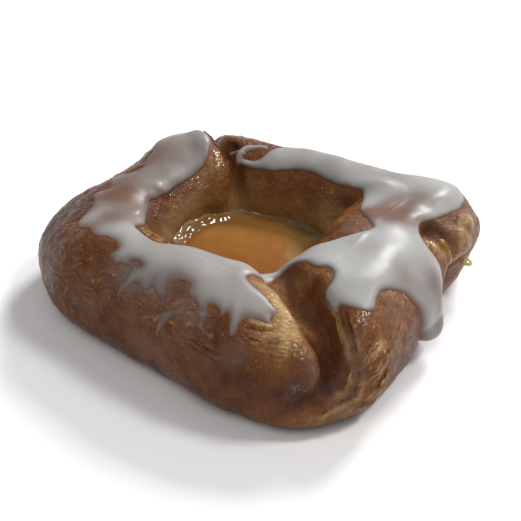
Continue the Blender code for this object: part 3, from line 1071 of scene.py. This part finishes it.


# Where the icing is painted darker: partly thinner, clearer icing, partly painted shade in its hollows, on the
# left ribbon and on the drip; how much, angle, place, size and stretch.
THIN_AND_SHADED_ICING = [
    # the left ribbon: partly thinner icing, partly painted shade
    (0.35, 152, -0.10, 8, 1.4),
    (0.25, 165, -0.12, 8, 1.4),
    (0.45, 174, 0.06, 7, 1.2),
    (0.45, 192, 0.02, 8, 1.2),
    (0.60, 207, 0.08, 8, 1.2),
    (0.60, 207, -0.18, 6, 1.2),
    (0.50, 229, 0.05, 6, 1.2),
    (0.45, 224, -0.14, 7, 1.2),
    # the thin veil at the front left
    (0.20, 272, 0.40, 7, 1.0),
    (0.25, 281, 0.38, 5, 1.0),
    (0.20, 306, 0.22, 8, 1.2),
    # painted shade in the hollow at the right corner
    (0.50, 374.0, -0.16, 5, 1.2),
    (0.66, 377.0, 0.09, 7.0, 1.1),
    (0.50, 384.5, 0.05, 7.0, 1.0),
    (0.72, 391.0, 0.01, 7.0, 1.0),
    # other places where the icing is darker
    (0.20, 288.0, 0.15, 12, 1.0),
    (0.15, 268.0, 0.00, 12, 1.0),
    (0.25, 440, -0.10, 14, 1.0),
    (0.45, 349, 0.50, 6, 1.0),
    # painted shade on the drip
    (0.50, 361, 0.80, 7, 1.2),
    (0.40, 361, 1.08, 8, 1.2),
    # other places where the icing is darker
    (0.30, 412, 0.00, 6, 1.2),
    (0.25, 350, 0.05, 5, 1.0),
]


def inside_outline(angle, place, outline):
    """Whether each point is inside a closed outline, by counting the edges above it."""
    inside = np.zeros(place.shape, bool)
    for first, last in zip(outline, np.roll(outline, -1, axis=0)):
        spans = (first[0] > angle) != (last[0] > angle)
        run = last[0] - first[0]
        level = first[1] + (angle - first[0]) * (last[1] - first[1]) / (run if run else 1)
        inside ^= spans & (place < level)
    return inside


def icing_bed(margin):
    """How far the dough gives way under the icing, in millimetres."""
    return ICING_SUNK * ramp(0.0, 2.2, margin)


def icing_margin(patch):
    """Signed distance in millimetres inside the icing's edge."""
    around = np.where(patch.angle < 140, patch.angle + 360, patch.angle)
    outline = smooth_line(ICING_INNER + ICING_OUTER[::-1], 3, closed=True)
    distance, _, _ = line_distance(patch, np.concatenate([outline, outline[:1]]))
    margin = np.where(inside_outline(around, patch.place, outline), distance, -distance)
    veil = ramp(0.20, 0.40, patch.place) * ramp(244, 256, around) * ramp(318, 306, around)
    runs = np.stack([around * 0.8, patch.place * 15, 0 * around], -1)
    margin = margin + veil * (1.5 * cell_noise(runs, 3.0, 24) - 0.1)
    for start, end, line in ICING_STROKES:
        distance, _, share = line_distance(patch, smooth_line(line, 4))
        margin = np.maximum(margin, start + (end - start) * share - distance)
    for angle, place, across, down in ICING_HOLES:
        x = turn(patch.angle - angle) * patch.mm_angle / across
        y = (patch.place - place) * patch.mm_place / down
        margin = np.minimum(margin, (np.hypot(x, y) - 1) * (across + down) / 2)
    return margin + 0.3 * cell_noise(patch.points, 4, 21)


def build_icing(shift, material):
    angles = np.linspace(140, 497, 640)
    places = np.linspace(-0.70, 1.42, 183)
    patch = make_patch(angles[None, :], places[:, None])
    margin = icing_margin(patch)
    wide_edge = ramp(-0.12, 0.12, patch.place) * ramp(326, 316, patch.angle)
    width = 0.8 + 1.0 * wide_edge
    drip = hill((patch.angle - DRIP_ANGLE) / DRIP_HALF_ANGLE) * ramp(0.45, 0.8, patch.place)
    rise = ICING_RISE * (1 - 0.55 * wide_edge) + (2.6 + 1.6 * ramp(0.9, 1.2, patch.place)) * drip
    inside = np.maximum(margin, 0)
    start = 1.05 + 0.35 * wide_edge
    lift = np.where(margin > 0, rise * (1 - np.exp(-((inside / width) ** start))), margin * 1.1)
    lift = np.maximum(lift, -ICING_BURIED)
    folds = hill((patch.angle - 175) / 32)
    waves = (0.15 + 0.25 * folds) * cell_noise(patch.points, 8, 22) + 0.06 * cell_noise(patch.points, 4, 23)
    base = dough_swell(patch) + 0.14
    top = patch.points + patch.normal * (base + lift + waves * ramp(0, 2, margin))[..., None]
    under = patch.points + patch.normal * (base - icing_bed(margin) - ICING_BURIED - 0.25)[..., None]
    keep = margin > -1.3
    cells = keep[:-1, :-1] & keep[1:, :-1] & keep[:-1, 1:] & keep[1:, 1:]
    points, faces, used = closed_sheet(top, under, cells)
    looks = np.zeros(patch.place.shape + (4,))
    # painted shade: these spots darken the icing where it is thin and where shade is painted
    thin_and_shade = sum(amount * spot(patch, *where) for amount, *where in THIN_AND_SHADED_ICING)
    thin_and_shade = thin_and_shade + 0.16 * cell_noise(patch.points, 10, 25) * ramp(0, 4, margin)
    cover = 1 - np.exp(-inside / (0.6 + 1.0 * wide_edge))
    looks[..., 0] = cover * (1 - np.clip(thin_and_shade, 0, 0.9))
    looks[..., 3] = 1.0
    colours = np.concatenate([looks.reshape(-1, 4)] * 2)[used]
    return make_mesh("icing_ribbon", points + shift, faces, material, {"looks": colours})


def closed_sheet(top, under, cells):
    """A solid sheet over the chosen cells of a grid: both faces and the sides round them."""
    rows, columns = top.shape[:2]
    size = rows * columns
    index = np.arange(size).reshape(rows, columns)
    a, b = index[:-1, :-1][cells], index[:-1, 1:][cells]
    c, d = index[1:, 1:][cells], index[1:, :-1][cells]
    upper = np.stack([a, d, c, b], -1)
    lower = np.stack([a, b, c, d], -1) + size
    edges = np.concatenate([upper[:, [0, 1]], upper[:, [1, 2]], upper[:, [2, 3]], upper[:, [3, 0]]])
    key = edges[:, 0] * size + edges[:, 1]
    back = edges[:, 1] * size + edges[:, 0]
    rim = edges[~np.isin(key, back)]
    sides = np.stack([rim[:, 1], rim[:, 0], rim[:, 0] + size, rim[:, 1] + size], -1)
    faces = np.concatenate([upper, lower, sides])
    used, places = np.unique(faces, return_inverse=True)
    points = np.concatenate([top.reshape(-1, 3), under.reshape(-1, 3)])[used]
    return points, places.reshape(faces.shape).tolist(), used


# ---------------------------------------------------------------- jelly and apricot


def apricot_height(x, y):
    """Top of the apricot half over a point: a broad dome with a rounded edge."""
    across = np.hypot(x - APRICOT_X, (y - APRICOT_Y) / 0.97) / APRICOT_REACH
    dome = np.sqrt(np.clip(1 - across**2.6, 0, 1))
    return JELLY_Z - APRICOT_SUNK + (APRICOT_SUNK + APRICOT_SWELL) * dome


APRICOT_REACH = 19.6
APRICOT_SUNK = 0.9  # how deep the edge of the apricot is in the jelly
APRICOT_SWELL = 2.9


def build_jelly(shift, material):
    """The pool, which climbs a little up the wall and up the apricot."""
    count = 400
    angles = np.linspace(-180, 180, count, endpoint=False)
    turned = np.radians(angles)
    wall = skin(angles, -1.02, 0.0)[:, :2] - (WELL_X, WELL_Y)
    reach = np.hypot(wall[:, 0], wall[:, 1]) + 2.0
    rings = []
    shares = np.concatenate([[1.0], np.linspace(1, 0.02, 90)])
    for step, share in enumerate(shares):
        x = WELL_X + reach * share * np.cos(turned)
        y = WELL_Y + reach * share * np.sin(turned)
        flat = np.stack([x, y, np.zeros(count)], -1)
        to_wall = reach * (1 - share) - 2.0
        apricot = np.hypot(x - APRICOT_X, (y - APRICOT_Y) / 0.97) - APRICOT_REACH
        left = hill(turn(angles - 172) / 40)
        z = JELLY_Z + (1.2 + 1.4 * left) * np.exp(-np.maximum(to_wall, -1.2) / (1.5 + 1.1 * left))
        z += 0.3 * hill(np.maximum(apricot, 0) / 2.4)
        ridge = 2.0 + 1.1 * cell_noise(flat, 5, 33)
        z += 1.0 * left * hill((to_wall - ridge) / 1.2)
        z += (0.30 + 0.45 * left) * cell_noise(flat, 5, 31) + (0.12 + 0.12 * left) * cell_noise(flat, 2.6, 32)
        if step == 0:
            z = np.full(count, FLOOR_Z + 0.5)
        rings.append(np.column_stack([x, y, z]))
    points = np.concatenate(rings + [[(WELL_X, WELL_Y, JELLY_Z)], [(WELL_X, WELL_Y, FLOOR_Z + 0.5)]])
    rows = len(rings)
    faces = ring_faces(rows, count)[:, ::-1].tolist()
    last = (rows - 1) * count
    faces += [(rows * count, last + c, last + (c + 1) % count) for c in range(count)]
    faces += [(rows * count + 1, (c + 1) % count, c) for c in range(count)]
    looks = np.zeros((len(points), 4))
    near = np.hypot(points[:, 0] - APRICOT_X, points[:, 1] - APRICOT_Y) - APRICOT_REACH
    looks[:, 0] = ramp(3.0, 0.0, near)
    bearing = np.degrees(np.arctan2(points[:, 1] - WELL_Y, points[:, 0] - WELL_X))
    looks[:, 1] = hill(turn(bearing - 180) / 36)
    looks[:, 3] = 1.0
    return make_mesh("jelly", points + shift, faces, material, {"looks": looks})


def build_apricot(shift, material):
    count, rows = 260, 70
    turned = np.linspace(0, 2 * math.pi, count, endpoint=False)
    rings = []
    for share in np.sin(np.linspace(math.pi / 2, 0.02, rows)):
        x = APRICOT_X + APRICOT_REACH * share * np.cos(turned)
        y = APRICOT_Y + APRICOT_REACH * share * 0.97 * np.sin(turned)
        ring = np.column_stack([x, y, apricot_height(x, y)])
        ring[:, 2] += 0.35 * cell_noise(ring, 10, 41) + 0.12 * cell_noise(ring, 4, 42)
        bearing = np.degrees(turned)
        ragged = APRICOT_REACH * share + 0.8 * cell_noise(ring, 3.0, 43)
        ring[:, 2] += 0.15 * ramp(12.6, 13.8, ragged) * ramp(82, 70, bearing) * ramp(-12, 6, bearing)
        rings.append(ring)
    bottom = (APRICOT_X, APRICOT_Y, JELLY_Z - APRICOT_SUNK - 0.4)
    top = rings[-1].mean(0)
    points = np.concatenate(rings + [[bottom], [top]])
    faces = ring_faces(rows, count).tolist()
    last = (rows - 1) * count
    faces += [(rows * count, (c + 1) % count, c) for c in range(count)]
    faces += [(rows * count + 1, last + c, last + (c + 1) % count) for c in range(count)]
    looks = np.zeros((len(points), 4))
    # painted highlight: the first value makes the flesh lighter towards the back, a painted soft sheen
    to_back = (points[:, 1] - APRICOT_Y) * 0.84 - (points[:, 0] - APRICOT_X) * 0.54
    looks[:, 0] = ramp(-15, 15, to_back)
    east, north = points[:, 0] - APRICOT_X, points[:, 1] - APRICOT_Y
    bearing = np.degrees(np.arctan2(north, east))
    ragged = np.hypot(east, north) + 0.8 * cell_noise(points, 3.0, 43)
    looks[:, 1] = ramp(12.4, 14.0, ragged) * ramp(82, 70, bearing) * ramp(-12, 6, bearing)
    looks[:, 3] = 1.0
    return make_mesh("apricot", points + shift, faces, material, {"looks": looks})


# ---------------------------------------------------------------- materials


class Nodes:
    """Short calls for building a material's node tree."""

    def __init__(self, name):
        self.material = bpy.data.materials.new(name)
        self.material.use_nodes = True
        self.tree = self.material.node_tree
        self.shader = self.tree.nodes["Principled BSDF"]

    def add(self, kind, **values):
        node = self.tree.nodes.new(kind)
        for name, value in values.items():
            setattr(node, name, value)
        return node

    def link(self, source, target):
        self.tree.links.new(source, target)

    def feed(self, target, value):
        if isinstance(value, bpy.types.NodeSocket):
            self.link(value, target)
        else:
            target.default_value = value

    def where(self):
        return self.add("ShaderNodeTexCoord").outputs["Object"]

    def noise(self, size_mm, detail=3.0, rough=0.55, distortion=0.0):
        """Noise of 0 to 1 with features of a size in millimetres."""
        node = self.add("ShaderNodeTexNoise")
        node.inputs["Scale"].default_value = 1 / (size_mm * MILLIMETRE)
        node.inputs["Detail"].default_value = detail
        node.inputs["Roughness"].default_value = rough
        node.inputs["Distortion"].default_value = distortion
        self.link(self.where(), node.inputs["Vector"])
        return node.outputs["Fac"]

    def math(self, operation, first, second=0.0, clamp=False):
        node = self.add("ShaderNodeMath", operation=operation, use_clamp=clamp)
        self.feed(node.inputs[0], first)
        self.feed(node.inputs[1], second)
        return node.outputs[0]

    def ramp(self, value, stops):
        node = self.add("ShaderNodeValToRGB")
        self.link(value, node.inputs["Fac"])
        elements = node.color_ramp.elements
        while len(elements) < len(stops):
            elements.new(0.5)
        for element, (position, colour) in zip(elements, stops):
            element.position = position
            element.color = (*colour, 1)
        return node.outputs["Color"]

    def mix(self, share, first, second):
        node = self.add("ShaderNodeMix", data_type="RGBA")
        self.feed(node.inputs["Factor"], share)
        for socket, value in ((node.inputs[6], first), (node.inputs[7], second)):
            if isinstance(value, bpy.types.NodeSocket):
                self.link(value, socket)
            else:
                socket.default_value = (*value, 1)
        return node.outputs[2]

    def painted(self, name):
        """The red, green and blue values painted on the mesh."""
        attribute = self.add("ShaderNodeAttribute", attribute_name=name)
        split = self.add("ShaderNodeSeparateColor")
        self.link(attribute.outputs["Color"], split.inputs["Color"])
        return split.outputs

    def bump(self, height, distance_mm, strength=1.0):
        node = self.add("ShaderNodeBump")
        node.inputs["Strength"].default_value = strength
        node.inputs["Distance"].default_value = distance_mm * MILLIMETRE
        self.link(height, node.inputs["Height"])
        self.link(node.outputs["Normal"], self.shader.inputs["Normal"])

    def set(self, **values):
        for name, value in values.items():
            socket = self.shader.inputs[name.replace("_", " ").title().replace("Ior", "IOR")]
            self.feed(socket, value)


CRUST_COLOURS = [
    (0.0, (0.52, 0.37, 0.18)),
    (0.25, (0.34, 0.195, 0.078)),
    (0.5, (0.180, 0.070, 0.021)),
    (0.75, (0.106, 0.034, 0.0115)),
    (1.0, (0.045, 0.013, 0.006)),
]


def crust_material(name="crust", gloss=0.0):
    nodes = Nodes(name)
    # painted shade: the first painted value is the crust's browning with painted shade in its cracks, under layer
    # steps and low on the front right
    bake, coat, film = nodes.painted("looks")[:3]
    coarse = nodes.math("MULTIPLY", nodes.math("SUBTRACT", nodes.noise(4.2, 3, 0.58), 0.5), 0.50)
    fine = nodes.math("MULTIPLY", nodes.math("SUBTRACT", nodes.noise(0.9, 3, 0.6), 0.5), 0.34)
    calm = nodes.math("SUBTRACT", 1.0, nodes.math("MULTIPLY", coat, 0.6))
    bake = nodes.math("ADD", bake, nodes.math("MULTIPLY", nodes.math("ADD", coarse, fine), calm), clamp=True)
    colour = nodes.ramp(bake, CRUST_COLOURS)
    colour = nodes.mix(nodes.math("MULTIPLY", coat, 0.65), colour, (0.27, 0.150, 0.050))
    colour = nodes.mix(nodes.math("MULTIPLY", film, 0.55), colour, (0.26, 0.195, 0.170))
    nodes.link(colour, nodes.shader.inputs["Base Color"])
    if gloss:
        nodes.set(roughness=0.09, specular_ior_level=gloss)
        return nodes.material
    rough = nodes.math("ADD", nodes.math("MULTIPLY", nodes.noise(4, 4), 0.40), 0.10)
    rough = nodes.math("SUBTRACT", rough, nodes.math("MULTIPLY", coat, 0.18))
    rough = nodes.math("MAXIMUM", rough, 0.08)
    nodes.link(rough, nodes.shader.inputs["Roughness"])
    height = nodes.math("ADD", nodes.noise(1.0, 4, 0.7), nodes.math("MULTIPLY", nodes.noise(2.8, 3), 1.6))
    nodes.bump(nodes.math("MULTIPLY", height, calm), 0.42, 1.0)
    nodes.set(specular_ior_level=0.15)
    return nodes.material


def icing_material():
    nodes = Nodes("icing")
    # painted shade: this value is the icing's cover, lowered where the icing is thin and where shade is painted;
    # low values take the darker colours
    thick = nodes.painted("looks")[0]
    colour = nodes.ramp(
        thick,
        [
            (0.0, (0.135, 0.062, 0.036)),
            (0.2, (0.160, 0.105, 0.084)),
            (0.45, (0.200, 0.160, 0.145)),
            (0.7, (0.268, 0.246, 0.232)),
            (1.0, (0.350, 0.348, 0.337)),
        ],
    )
    nodes.link(colour, nodes.shader.inputs["Base Color"])
    nodes.set(roughness=0.34, specular_ior_level=0.16, subsurface_weight=0.4, subsurface_scale=0.0014)
    nodes.shader.inputs["Subsurface Radius"].default_value = (1.0, 0.55, 0.40)
    nodes.bump(nodes.noise(1.5, 2), 0.06, 0.5)
    return nodes.material


def jelly_material():
    nodes = Nodes("jelly")
    near, pale = nodes.painted("looks")[:2]
    pool = nodes.mix(nodes.noise(6, 3), (0.095, 0.058, 0.020), (0.16, 0.105, 0.036))
    pool = nodes.mix(pale, pool, nodes.mix(nodes.noise(3, 3), (0.20, 0.14, 0.055), (0.34, 0.27, 0.13)))
    nodes.link(nodes.mix(near, pool, (0.215, 0.098, 0.024)), nodes.shader.inputs["Base Color"])
    nodes.set(roughness=0.07, specular_ior_level=0.5)
    return nodes.material


def apricot_material():
    nodes = Nodes("apricot")
    back, pale = nodes.painted("looks")[:2]
    # painted highlight: the flesh is lighter and yellower towards the back, a painted soft sheen
    flesh = nodes.mix(back, (0.215, 0.068, 0.013), (0.245, 0.108, 0.024))
    streaks = nodes.noise(5, 3, 0.6)
    colour = nodes.mix(nodes.math("MULTIPLY", streaks, 0.30), flesh, (0.30, 0.15, 0.035))
    colour = nodes.mix(nodes.math("MULTIPLY", pale, 0.55), colour, (0.20, 0.115, 0.040))
    nodes.link(colour, nodes.shader.inputs["Base Color"])
    nodes.bump(nodes.noise(1.6, 3), 0.10, 0.5)
    nodes.set(roughness=0.5, specular_ior_level=0.04)
    return nodes.material


def amber_material():
    nodes = Nodes("amber_glaze")
    colour = nodes.mix(nodes.noise(2.4, 3), (0.17, 0.066, 0.013), (0.30, 0.135, 0.028))
    nodes.link(colour, nodes.shader.inputs["Base Color"])
    nodes.set(roughness=0.12, specular_ior_level=0.4)
    return nodes.material


def drop_material():
    nodes = Nodes("glaze_drop")
    colour = nodes.mix(nodes.noise(2, 3), (0.34, 0.25, 0.055), (0.62, 0.52, 0.22))
    nodes.link(colour, nodes.shader.inputs["Base Color"])
    nodes.set(roughness=0.06, specular_ior_level=0.5)
    return nodes.material


def floor_material():
    nodes = Nodes("paper")
    colour = nodes.mix(nodes.noise(300, 2), (0.92, 0.92, 0.92), (0.94, 0.94, 0.94))
    nodes.link(colour, nodes.shader.inputs["Base Color"])
    nodes.set(roughness=0.9, specular_ior_level=0.1)
    return nodes.material


# ---------------------------------------------------------------- stage


def build_floor():
    half = 1.5
    mesh = bpy.data.meshes.new("floor")
    mesh.from_pydata([(-half, -half, 0), (half, -half, 0), (half, half, 0), (-half, half, 0)], [], [(0, 1, 2, 3)])
    mesh.materials.append(floor_material())
    floor = bpy.data.objects.new("floor", mesh)
    floor.location.z = -0.0003
    bpy.context.scene.collection.objects.link(floor)


def aim(item, place, target):
    item.location = place
    item.rotation_euler = (Vector(target) - Vector(place)).to_track_quat("-Z", "Y").to_euler()


def soft_light(name, azimuth, elevation, distance, width, height, watts, colour=(1, 1, 1)):
    light = bpy.data.lights.new(name, "AREA")
    light.shape = "RECTANGLE"
    light.size, light.size_y = width, height
    light.energy = watts
    light.color = colour
    lamp = bpy.data.objects.new(name, light)
    bpy.context.scene.collection.objects.link(lamp)
    azimuth, elevation = math.radians(azimuth), math.radians(elevation)
    flat = distance * math.cos(elevation)
    place = (flat * math.cos(azimuth), flat * math.sin(azimuth), distance * math.sin(elevation))
    aim(lamp, place, (0, 0, 0.02))


CAMERA_AZIMUTH = 33.0
CAMERA_ELEVATION = 34.0
CAMERA_DISTANCE = 0.3333
CAMERA_TARGET = (-0.00694, 0.01645, 0.0)
CAMERA_LENS = 69.1
CAMERA_SENSOR = 36.0


def build_camera():
    camera = bpy.data.cameras.new("camera")
    camera.lens = CAMERA_LENS
    camera.sensor_width = CAMERA_SENSOR
    camera.clip_start = 0.01
    item = bpy.data.objects.new("camera", camera)
    bpy.context.scene.collection.objects.link(item)
    azimuth, elevation = math.radians(CAMERA_AZIMUTH), math.radians(CAMERA_ELEVATION)
    back = Vector(
        (
            math.sin(azimuth) * math.cos(elevation),
            -math.cos(azimuth) * math.cos(elevation),
            math.sin(elevation),
        )
    )
    aim(item, Vector(CAMERA_TARGET) + back * CAMERA_DISTANCE, CAMERA_TARGET)
    bpy.context.scene.camera = item


def build_light():
    world = bpy.data.worlds.new("studio")
    world.use_nodes = True
    background = world.node_tree.nodes["Background"]
    background.inputs["Color"].default_value = (1.0, 0.98, 0.97, 1)
    background.inputs["Strength"].default_value = 0.30
    bpy.context.scene.world = world
    soft_light("key", 92, 39, 1.5, 0.42, 0.34, 20.0)
    soft_light("side", 38, 54, 1.3, 0.28, 0.28, 7.5)
    soft_light("front", -75, 60, 1.5, 1.0, 0.8, 4.8)
    bpy.context.scene.view_settings.view_transform = "Standard"


def main():
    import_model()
    shift = frame_shift()
    crust, icing = crust_material(), icing_material()
    pieces = [
        (build_dough(shift, crust), "pastry", "crust"),
        (build_icing(shift, icing), "icing", "icing"),
        (build_flakes(shift, crust), None, "crust"),
        (build_blisters(shift, crust_material("glossy_crust", 0.8)), None, "crust"),
        (build_beads("amber_seam", AMBER_BEADS, shift, amber_material()), None, "jelly"),
        (build_beads("glaze_drop", GLAZE_DROPS, shift, drop_material()), None, "jelly"),
        (build_jelly(shift, jelly_material()), "filling", "jelly"),
        (build_apricot(shift, apricot_material()), "apricot_half", "apricot"),
    ]
    for piece, node, slot in pieces:
        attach(piece, "root")
        if node:
            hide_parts(node)
    build_floor()
    build_light()
    build_camera()


main()
